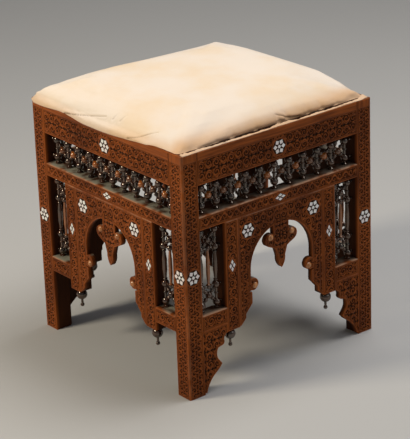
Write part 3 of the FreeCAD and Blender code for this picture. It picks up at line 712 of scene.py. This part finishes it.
def carved_finish(direction):
    """Dark polished wood: fibre along one axis, worn plain borders, a painted highlight along the arrises,
    painted shade in the carved ground, and dust on ledges that is thinner on the front and back rails as
    painted shade.
    """
    wood = Finish("carved_wood_" + direction)
    fibre = wood.noise(1.0, 6.0, 0.6, grain_stretch(direction))
    broad = wood.noise(9.0, 3.0)
    ground = wood.share("ground")
    worn = wood.share("worn")
    body = wood.mix(wood.step(fibre * 0.6 + broad * 0.4, 0.36, 0.64), ridge_dark, ridge_light)
    rubbed = wood.mix(worn * wood.step(broad, 0.35, 0.7) * 0.25, body, worn_light)
    # Painted shade in the carved ground, grooves and inner faces; the inlay beds and joints darken as
    # their own colour
    carved_colour = wood.mix(ground, rubbed, shade_and_joint_dark)
    patch = wood.noise(45.0, 4.0)
    # The pale arris line, broken by patches: painted highlight
    arris_highlighted = wood.mix(wood.share("arris") * wood.step(patch, 0.35, 0.60), carved_colour, arris_highlight_pale)
    normal = wood.node("ShaderNodeNewGeometry", output="Normal")
    upward = wood.node("ShaderNodeSeparateXYZ", None, {"Vector": normal}, "Z")
    below_seat = wood.step(wood.axis("Z"), top_low.z + dust_start, top_low.z)
    ledge = wood.step(upward, 0.85, 0.97) * below_seat
    # Pale dust on the ledges below the seat, thinner on the front and back rails as painted shade
    dust_and_shade = ledge * dust_and_shade_shares[direction] * wood.step(patch, 0.34, 0.62)
    colour = wood.mix(dust_and_shade, arris_highlighted, ledge_dust)
    roughness = 0.34 + 0.14 * fibre + 0.30 * ground
    constants = {"Specular IOR Level": 0.16, "Specular Tint": polish_tint}
    return wood.surface(colour, roughness, wood.bump(fibre, 0.0003, 0.6), constants)


def turned_finish(name, axis):
    """Near-black turned wood whose cell balls and middle spindles are left brown or golden."""
    wood = Finish(name)
    tone = wood.noise(70.0, 2.0)
    along = wood.axis(axis)
    height = wood.axis("Z")
    count = (along + post_inner) / column_step
    near = wood.node("ShaderNodeMath", {"operation": "ROUND"}, {0: count})
    way = ((count - near) * column_step) ** 2.0 + (height - upper_middle) ** 2.0
    ball = wood.step(way, ball_reach[0] ** 2, ball_reach[1] ** 2)
    every_other = near % 2.0
    side = (abs(abs(along) - panel_middle)) ** 2.0
    slim = wood.step(side, spindle_reach[0] ** 2, spindle_reach[1] ** 2)
    spindle = slim * wood.step(abs(height - panel_height), *spindle_half)
    body = wood.mix(wood.step(tone, 0.35, 0.60), turned_dark, turned_brown)
    gold = ball * (0.30 + 0.70 * every_other) + spindle * 0.7
    colour = wood.mix(gold * (0.5 + tone), body, turned_gold)
    constants = {"Specular IOR Level": 0.8, "IOR": 1.70, "Specular Tint": turned_tint}
    return wood.surface(colour, 0.06 + 0.10 * tone, wood.bump(tone, 0.0001, 0.3), constants)


def stud_finish():
    """Rubbed domes of lighter wood."""
    wood = Finish("stud_wood")
    fibre = wood.noise(1.0, 5.0, 0.6, grain_stretch("z"))
    colour = wood.mix(wood.step(fibre, 0.35, 0.65), stud_brown, stud_tan)
    constants = {"Specular IOR Level": 0.7}
    return wood.surface(colour, 0.18 + 0.12 * fibre, wood.bump(fibre, 0.0002, 0.5), constants)


def pearl_finish():
    """Mother of pearl: pale lozenges that turn pink and green, with fine lines."""
    shell = Finish("pearl")
    cloud = shell.noise(85.0, 2.0)
    other = shell.noise(140.0, 2.0)
    streak = shell.noise(1.0, 4.0, 0.6, pearl_streak)
    tint = shell.mix(shell.step(cloud, 0.42, 0.62), pearl_pink, pearl_white)
    colour = shell.mix(shell.step(other, 0.52, 0.70) * 0.7, tint, pearl_green)
    normal = shell.bump(streak, 0.0001, 0.5)
    return shell.surface(colour, 0.16 + 0.14 * streak, normal, {"Coat Weight": 0.4})


def board_finish():
    """Plain unpolished wood, out of sight."""
    wood = Finish("plain_wood")
    fibre = wood.noise(1.0, 6.0, 0.6, grain_stretch("x"))
    colour = wood.mix(wood.step(fibre, 0.35, 0.65), board_brown, board_pale)
    return wood.surface(colour, 0.62 + 0.2 * fibre, wood.bump(fibre, 0.0003, 0.6))


def steel_finish():
    """Steel that has dulled."""
    steel = Finish("fixing_steel")
    cloud = steel.noise(300.0, 4.0)
    colour = steel.mix(steel.step(cloud, 0.4, 0.65), steel_dark, steel_light)
    return steel.surface(colour, 0.30 + 0.3 * cloud, steel.bump(cloud, 0.0001, 0.4), {"Metallic": 0.9})


def cloth_finish():
    """Plain woven cotton, cream with peach clouds; tan near its foot and along the front as soil and
    painted shade, tan on the hem as soil, and dark along its folds as painted shade.
    """
    cloth = Finish("cover_cloth")
    cloud = cloth.noise(7.0, 4.0, 0.55)
    slub = cloth.noise(1.0, 3.0, 0.6, cloth_slub)
    soil_and_shade = cloth.share("soil_and_shade")
    waves = []
    for axis in ("X", "Y"):
        inputs = {"Vector": cloth.place, "Scale": weave_scale}
        waves.append(cloth.node("ShaderNodeTexWave", {"bands_direction": axis}, inputs, "Fac"))
    weave = waves[0] * 0.5 + waves[1] * 0.5
    body = cloth.mix(cloth.step(cloud, 0.45, 0.75), cloth_cream, cloth_peach)
    # Tan near the foot and along the front: soil and painted shade
    soiled_and_shaded = cloth.mix(soil_and_shade * (0.45 + 0.8 * cloud), body, cloth_soil_shade)
    colour = cloth.mix(cloth.share("fold_shade"), soiled_and_shaded, cloth_fold_shade)
    normal = cloth.bump(weave * 0.7 + slub * 0.6, 0.0002, 0.5)
    constants = {"Sheen Weight": 0.15, "Specular IOR Level": 0.2}
    return cloth.surface(colour, 0.80 + 0.12 * weave, normal, constants)


def floor_finish():
    """A plain pale floor."""
    floor = Finish("floor")
    cloud = floor.noise(2.0, 3.0)
    colour = floor.mix(cloud * 0.2, floor_pale, floor_cloud)
    return floor.surface(colour, 0.75)


def add_piece(name, mesh, body, slot, material, *replaced):
    """A finished mesh as a piece that rides on a body, in place of the nodes that it stands for."""
    piece = bpy.data.objects.new(name, mesh)
    bpy.context.scene.collection.objects.link(piece)
    mesh.materials.clear()
    mesh.materials.append(material)
    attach(piece, body)
    if replaced:
        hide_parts(*replaced)
    return piece


def turned_copy(mesh, index):
    """A mesh of the front turned to another side."""
    copy = mesh.copy()
    copy.transform(Matrix.Rotation(index * math.pi / 2, 4, "Z"))
    return copy


carved = {direction: carved_finish(direction) for direction in "xyz"}


def add_carved(mesh, base, places, upright):
    """Carved copies of one mesh round the stool."""
    for index, place in enumerate(places):
        if place:
            direction = "z" if upright else "xy"[index % 2]
            add_piece("carved_" + base + "_" + place, turned_copy(mesh, index), "frame", "carved_wood",
                      carved[direction], base + "_" + place)


# Posts, rails and stiles
add_carved(corner_post(), "corner_post", CORNERS, True)
between_posts = (-post_inner, post_inner)
add_carved(
    carved_bar("top_rail", between_posts, (top_low.z, top_high.z), rail_depth, plain_top=rail_plain_top,
               seats=[lambda s, z: flower_way(s, z, top_flower)]),
    "top_rail", SIDES, False)
add_carved(
    carved_bar("mid_rail", between_posts, (mid_low.z, mid_high.z), mid_depth,
               seats=[lambda s, z: diamond_way(s, z, mid_diamond, *diamond_reach)]),
    "mid_rail", SIDES, False)
for hand, sign in (("left", -1), ("right", 1)):
    hands = [side + "_" + hand for side in SIDES]
    span = sorted((sign * stile_low.x, sign * stile_high.x))
    stile = carved_bar("stile", span, (stile_low.z, mid_low.z), stile_depth, upright=True,
                       seats=[lambda s, z: diamond_way(np.abs(s), z, stile_diamond, *diamond_reach[::-1])])
    add_carved(stile, "stile", hands, True)
    span = sorted((sign * stile_high.x, sign * post_inner))
    lower = carved_bar("lower_rail", span, (lower_low.z, lower_high.z), lower_depth)
    add_carved(lower, "lower_rail", hands, False)


def arch_rows(s, z):
    """Carving of the arch board: a band round the arch between grooves, and rows above and inside it."""
    rise = np.maximum(z - arch_height, 0)
    way = np.hypot(s, rise) - arch_radius
    turn = np.arctan2(rise, np.abs(s)) * (arch_radius + arch_band / 2)
    round_arch = (way > 0) & (way < arch_band)
    along = np.where(round_arch, turn + np.minimum(z - arch_height, 0), np.abs(s))
    across = np.where(round_arch, way - arch_bead, mid_low.z - border - z)
    return along, across, (way - arch_bead, way - arch_band)


def bracket_rows(s, z):
    """Rows of carving on a bracket, down from its top."""
    return np.abs(s), lower_low.z - border - z, ()


# Fretted boards
arch = carved_board("arch_board_front", arch_rows, board_bay, board_row,
                    [lambda s, z: flower_way(np.abs(s), z, spandrel_flower)], mid_low.z, stile_low.x)
add_carved(arch, "arch_board", SIDES, True)
for hand in ("left", "right"):
    bracket = carved_board("foot_bracket_front_" + hand, bracket_rows, board_bay, board_row)
    add_carved(bracket, "foot_bracket", ["front_" + hand, None, "back_" + hand, None], True)


def set_finish(node, material):
    """Gives a CAD node its finish."""
    mesh = nodes[node].data
    mesh.materials.clear()
    mesh.materials.append(material)


# Turned, inlaid and hidden nodes
turned = (turned_finish("turned_wood_x", "X"), turned_finish("turned_wood_y", "Y"))
for index, side in enumerate(SIDES):
    set_finish("upper_lattice_" + side, turned[index % 2])
    set_finish("side_lattice_" + side, turned[index % 2])
set_finish("stile_finials", turned[0])
set_finish("scroll_studs", stud_finish())
pearl = pearl_finish()
set_finish("pearl_flowers", pearl)


def islands(shape):
    """The separate solids of a bmesh, each as a list of its vertices."""
    seen = set()
    for first in shape.verts:
        if first not in seen:
            seen.add(first)
            group = [first]
            for vert in group:
                fresh = [edge.other_vert(vert) for edge in vert.link_edges]
                fresh = [other for other in fresh if other not in seen]
                seen.update(fresh)
                group += fresh
            yield group


def spaced_diamonds():
    """The diamonds' lozenges, each drawn in about its middle so that the dark bed shows between them."""
    shape = merged_copy("pearl_diamonds")
    for group in islands(shape):
        middle = sum((vert.co for vert in group), Vector()) / len(group)
        bmesh.ops.scale(shape, verts=group, vec=[lozenge_share] * 3, space=Matrix.Translation(-middle))
    return shape_to_mesh(shape, "spaced_diamonds")


add_piece("spaced_diamonds", spaced_diamonds(), "frame", "pearl", pearl, "pearl_diamonds")
plain = board_finish()
for node in ["seat_board", "bracket_dowels"] + ["seat_cleat_" + side for side in SIDES]:
    set_finish(node, plain)
steel = steel_finish()
set_finish("cleat_screws", steel)
set_finish("cover_tacks", steel)


def evaluated_mesh(piece):
    """The mesh that a piece's modifiers give."""
    return bpy.data.meshes.new_from_object(piece.evaluated_get(bpy.context.evaluated_depsgraph_get()))


def blended(mesh, travel):
    """Evens out a movement of a mesh's vertices among their neighbours."""
    links = np.empty(len(mesh.edges) * 2, np.int32)
    mesh.edges.foreach_get("vertices", links)
    links = links.reshape(-1, 2)
    count = np.bincount(links.ravel())[:, None]
    for _ in range(travel_blend):
        around = np.zeros_like(travel)
        np.add.at(around, links[:, 0], travel[links[:, 1]])
        np.add.at(around, links[:, 1], travel[links[:, 0]])
        travel = (travel + around / count) / 2
    return travel


def blown_pad():
    """The padding under its cover: the seat's solid made a little smaller, then blown up as cloth."""
    shape = merged_copy("seat_cushion")
    base = Vector((0, 0, pad_low.z))
    foot = [vert for vert in shape.verts if vert.co.z < pad_low.z + 0.0001]
    bmesh.ops.scale(shape, verts=shape.verts, vec=seat_shrink, space=Matrix.Translation(-base))
    bmesh.ops.translate(shape, verts=foot, vec=(0, 0, -seat_root))
    pad = bpy.data.objects.new("seat_pad", shape_to_mesh(shape, "seat_pad"))
    bpy.context.scene.collection.objects.link(pad)
    remesh = pad.modifiers.new("even faces", "REMESH")
    remesh.mode = "VOXEL"
    remesh.voxel_size = seat_voxel
    pad.data = evaluated_mesh(pad)
    pad.modifiers.clear()
    start = read_points(pad.data)
    held = pad.vertex_groups.new(name="held")
    held.add([index for index, point in enumerate(start) if point[2] < pad_low.z], 1.0, "REPLACE")
    cover = pad.modifiers.new("cover", "CLOTH")
    cover.settings.use_pressure = True
    cover.settings.uniform_pressure_force = seat_pressure
    cover.settings.vertex_group_mass = "held"
    cover.settings.effector_weights.gravity = 0
    for step in range(1, seat_steps + 1):
        bpy.context.scene.frame_set(step)
    moved = read_points(evaluated_mesh(pad))
    pad.modifiers.clear()
    pad.vertex_groups.clear()
    bpy.context.scene.frame_set(1)
    travel = moved - start
    length = np.maximum(np.linalg.norm(travel, axis=1), tiny)
    travel *= np.minimum(1, seat_travel / length)[:, None]
    write_points(pad.data, start + blended(pad.data, travel))
    return pad


def crease_line(surface, places):
    """A crease's line on the cover, in short steps from place to place."""
    line = [surface.find_nearest(places[0])[0]]
    for start, end in zip(places, places[1:]):
        for step in range(1, crease_steps + 1):
            line.append(surface.find_nearest(Vector(start).lerp(end, step / crease_steps))[0])
    return np.array(line)


def crease_way(points, line):
    """How far points are from a crease's line, and their share of the way along it."""
    ways = np.full(len(points), 1.0)
    shares = np.zeros(len(points))
    for step, (start, end) in enumerate(zip(line, line[1:])):
        along = end - start
        share = np.clip((points - start) @ along / (along @ along), 0, 1)
        way = np.linalg.norm(points - start - share[:, None] * along, axis=1)
        shares = np.where(way < ways, (step + share) / (len(line) - 1), shares)
        ways = np.minimum(way, ways)
    return ways, shares


def refine(shape, line):
    """Divides the faces along a crease more finely."""
    shape.verts.index_update()
    way = crease_way(np.array([vert.co for vert in shape.verts]), line)[0]
    near = [edge for edge in shape.edges if max(way[vert.index] for vert in edge.verts) < crease_reach]
    bmesh.ops.subdivide_edges(shape, edges=near, cuts=2, use_grid_fill=True)


def smooth_pad(pad):
    """One subdivision, and a closed underside in place of the root."""
    smooth = pad.modifiers.new("smooth", "SUBSURF")
    smooth.levels = 1
    smooth.render_levels = 1
    shape = bmesh.new()
    shape.from_mesh(evaluated_mesh(pad))
    pad.modifiers.clear()
    geometry = shape.verts[:] + shape.edges[:] + shape.faces[:]
    bmesh.ops.bisect_plane(shape, geom=geometry, dist=loose_weld, plane_co=(0, 0, pad_low.z),
                           plane_no=(0, 0, 1), clear_inner=True)
    under = shape.verts.layers.float.new("under")
    inner = bmesh.ops.extrude_edge_only(shape, edges=open_edges(shape))["geom"]
    inner = [part for part in inner if isinstance(part, bmesh.types.BMVert)]
    bmesh.ops.translate(shape, verts=inner, vec=(0, 0, underside_lift))
    for vert in inner:
        vert[under] = 1
    bmesh.ops.holes_fill(shape, edges=open_edges(shape))
    pad.data = shape_to_mesh(shape, "seat_pad")


def overhang(y):
    """How far the cover hangs down over the left rail."""
    sag = cover_sag * ease(*sag_start, y) * (1 - sag_loss * ease(*sag_fade, y))
    return (sag + cover_tail * ease(*tail_start, y)) * ease(*hang_end, y)


def hang_over(points, rise, inner):
    """Draws the cover's edge down outside the left rail, clear of its face."""
    left = points[:, 0] - points[:, 0].min()
    hang = overhang(points[:, 1]) * ease(hang_rise, 0.0, rise) * ease(*hang_reach, left) * (1 - inner)
    points[:, 2] -= hang
    low = ease(*hang_low, points[:, 2] - pad_low.z) * ease(0, hang_blend, hang)
    out = np.minimum(points[:, 0], -half_plan - cover_clear) - points[:, 0]
    points[:, 0] += low * out


def square_corners(points):
    """Fills out the corners."""
    over = np.maximum(np.abs(points[:, :2]) - corner_start, 0)
    both = 2 * over[:, 0] * over[:, 1] / np.maximum((over ** 2).sum(axis=1), tiny)
    points[:, :2] += np.sign(points[:, :2]) * over * (corner_fill * both)[:, None]


def settle(pad):
    """The used cover: drawn in and puckered under the front, and hanging over the left rail."""
    points = read_points(pad.data)
    inner = np.empty(len(points), np.float32)
    pad.data.attributes["under"].data.foreach_get("value", inner)
    front = points[:, 1] - points[:, 1].min()
    rise = points[:, 2] - pad_low.z
    square_corners(points)
    points[:, 2] += seat_lift * ease(0, lift_blend, rise)
    for corner in full_corners:
        way = np.hypot(points[:, 0] - corner[0], points[:, 1] - corner[1])
        points[:, 2] += corner_rise * ease(corner_spread, corner_top, way) * ease(0, corner_blend, rise)
    hang_over(points, rise, inner)
    points[:, 1] += front_undercut * ease(undercut_rise, 0.0, rise) * ease(*undercut_reach, front)
    points[:, 0] = np.clip(points[:, 0], -side_reach[0], side_reach[1])
    points[:, 1] = np.minimum(points[:, 1], side_reach[1])
    for place, depth in front_puckers:
        pucker = depth * np.exp(-((points[:, 0] - place) / pucker_half) ** 2)
        pucker *= np.exp(-front / pucker_reach)
        points[:, 1] += pucker * ease(0, pucker_rise, rise)
        points[:, 2] -= pucker * pucker_drop * ease(*drop_rise, rise)
    write_points(pad.data, points)
    # Tan near the cover's foot and low on its front: soil and painted shade
    soiled_and_shaded = ease(foot_soil_shade_rise, 0.0, rise) * foot_soil_shade
    soiled_and_shaded = np.maximum(soiled_and_shaded, ease(*front_soil_shade_rise, rise) * ease(*front_soil_shade_reach, front))
    write_share(pad.data, "soil_and_shade", soiled_and_shaded)


def crease(pad):
    """Creases of the cover, puffed up beside their folds, whose dark lines are painted shade."""
    shape = bmesh.new()
    shape.from_mesh(pad.data)
    surface = BVHTree.FromBMesh(shape)
    lines = [crease_line(surface, places) for places, *_ in seat_creases]
    for line in lines:
        refine(shape, line)
    shape.to_mesh(pad.data)
    shape.free()
    points = read_points(pad.data)
    normals = np.empty(len(points) * 3, np.float32)
    pad.data.vertex_normals.foreach_get("vector", normals)
    normals = normals.reshape(-1, 3)
    fold_shade = np.zeros(len(points))
    for line, (_, depths, shade_ends, width) in zip(lines, seat_creases):
        way, share = crease_way(points, line)
        depth = depths[0] + (depths[1] - depths[0]) * share
        dark = shade_ends[0] + (shade_ends[1] - shade_ends[0]) * share
        puff = crease_puff * np.exp(-((way - 3 * width) / (2 * width)) ** 2)
        points += normals * (depth * (puff - np.exp(-(way / width) ** 2)))[:, None]
        # The dark line along each fold is painted shade
        fold_shade = np.maximum(fold_shade, dark * np.exp(-(way / width) ** 2))
    write_points(pad.data, points)
    write_share(pad.data, "fold_shade", fold_shade)


def ripple(waves, place):
    """The sum of some waves at a place."""
    return sum(height * math.sin(rate * place + start) for height, rate, start in waves)


def cloth_strip(name, columns, rows, place_of):
    """A strip of cloth: a fine grid whose points are laid by their shares along and across it."""
    shape = bmesh.new()
    corner = Matrix.Translation((0.5, 0.5, 0)) @ Matrix.Diagonal((0.5, 0.5, 1, 1))
    bmesh.ops.create_grid(shape, x_segments=columns, y_segments=rows, size=1, matrix=corner)
    for vert in shape.verts:
        vert.co = place_of(vert.co.x, vert.co.y)
    area = sum(face.calc_area() for face in shape.faces)
    mesh = shape_to_mesh(shape, name)
    write_share(mesh, "soil_and_shade", np.full(len(mesh.vertices), hem_soil))
    mesh.shade_smooth()
    strip = add_piece(name, mesh, "seat", "cover_cloth", cloth)
    wall = strip.modifiers.new("thickness", "SOLIDIFY")
    wall.thickness = cloth_thickness
    wall.offset = 0
    return strip, area


def hem_place(along, across):
    """The raw hem along the front rail, crumpled where it goes in under the pad."""
    x = hem_start + hem_length * along
    bunch = float(ease(*bunch_run, x))
    far_end = float(ease(*far_run, x))
    width = hem_width * (1 + bunch + far_widening * far_end)
    width += inner_swell * ripple(edge_waves, inner_rate * x)
    y = -half_plan + hem_inset + far_turn * far_end + ripple(edge_waves, x) * (1 - across) + width * across
    crumple = crumple_mean + ripple(crumple_waves, x)
    crumple += bunch * (bunch_height + bunch_height * math.sin(bunch_rate * x + bunch_slant * across))
    z = frame_height + hem_lift + max(crumple, 0) * across ** (2 - bunch)
    return x, y, z


cloth = cloth_finish()
pad = blown_pad()
smooth_pad(pad)
settle(pad)
crease(pad)
pad.data.materials.clear()
pad.data.materials.append(cloth)
pad.data.shade_smooth()
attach(pad, "seat")
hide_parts("seat_cushion")
hem, hem_area = cloth_strip("cover_hem", *hem_cells, hem_place)

# Floor, light and camera
floor_half = 8
floor_shape = bmesh.new()
bmesh.ops.create_grid(floor_shape, x_segments=1, y_segments=1, size=floor_half)
floor = bpy.data.objects.new("floor", shape_to_mesh(floor_shape, "floor"))
bpy.context.scene.collection.objects.link(floor)
floor.data.materials.append(floor_finish())

aim_place = Vector((0, 0, 0.25))
key_direction = Vector((-0.79, 0.26, 0.56)).normalized()
key_way = 2.6
key_power = 39.5
key_size = 0.55
key_colour = (1.0, 0.89, 0.69)
fill_place = Vector((1.3, -2.4, 1.5))
fill_power = 8.0
fill_size = 1.6
fill_colour = (0.90, 0.95, 1.0)
top_place = Vector((0.95, -0.32, 2.65))
top_power = 46.0
top_size = 1.6
top_colour = (1.0, 0.98, 0.95)
world_colour = (0.95, 0.97, 1.0, 1)
world_strength = 0.15


def add_lamp(name, place, power, size, colour):
    """A square lamp that points at the stool."""
    lamp = bpy.data.lights.new(name, "AREA")
    lamp.energy = power
    lamp.size = size
    lamp.color = colour
    stand = bpy.data.objects.new(name, lamp)
    stand.location = place
    stand.rotation_euler = (aim_place - place).to_track_quat("-Z", "Y").to_euler()
    bpy.context.scene.collection.objects.link(stand)


add_lamp("key", key_direction * key_way + aim_place, key_power, key_size, key_colour)
add_lamp("fill", fill_place, fill_power, fill_size, fill_colour)
add_lamp("top", top_place, top_power, top_size, top_colour)
world = bpy.data.worlds.new("studio")
world.use_nodes = True
world.node_tree.nodes["Background"].inputs["Color"].default_value = world_colour
world.node_tree.nodes["Background"].inputs["Strength"].default_value = world_strength
bpy.context.scene.world = world

camera_azimuth = math.radians(-38.4055)
camera_elevation = math.radians(22.3845)
camera_roll = math.radians(-2.1103)
camera_place = Vector((-2.2981, -2.9013, 1.739))
camera_lens = 180.41

camera_data = bpy.data.cameras.new("camera")
camera_data.lens = camera_lens
camera_data.sensor_width = 36.0
camera = bpy.data.objects.new("camera", camera_data)
aim = Matrix.Rotation(camera_azimuth, 4, "Z") @ Matrix.Rotation(math.pi / 2 - camera_elevation, 4, "X")
camera.matrix_world = Matrix.Translation(camera_place) @ aim @ Matrix.Rotation(camera_roll, 4, "Z")
bpy.context.scene.collection.objects.link(camera)
bpy.context.scene.camera = camera
bpy.context.scene.view_settings.view_transform = "Standard"
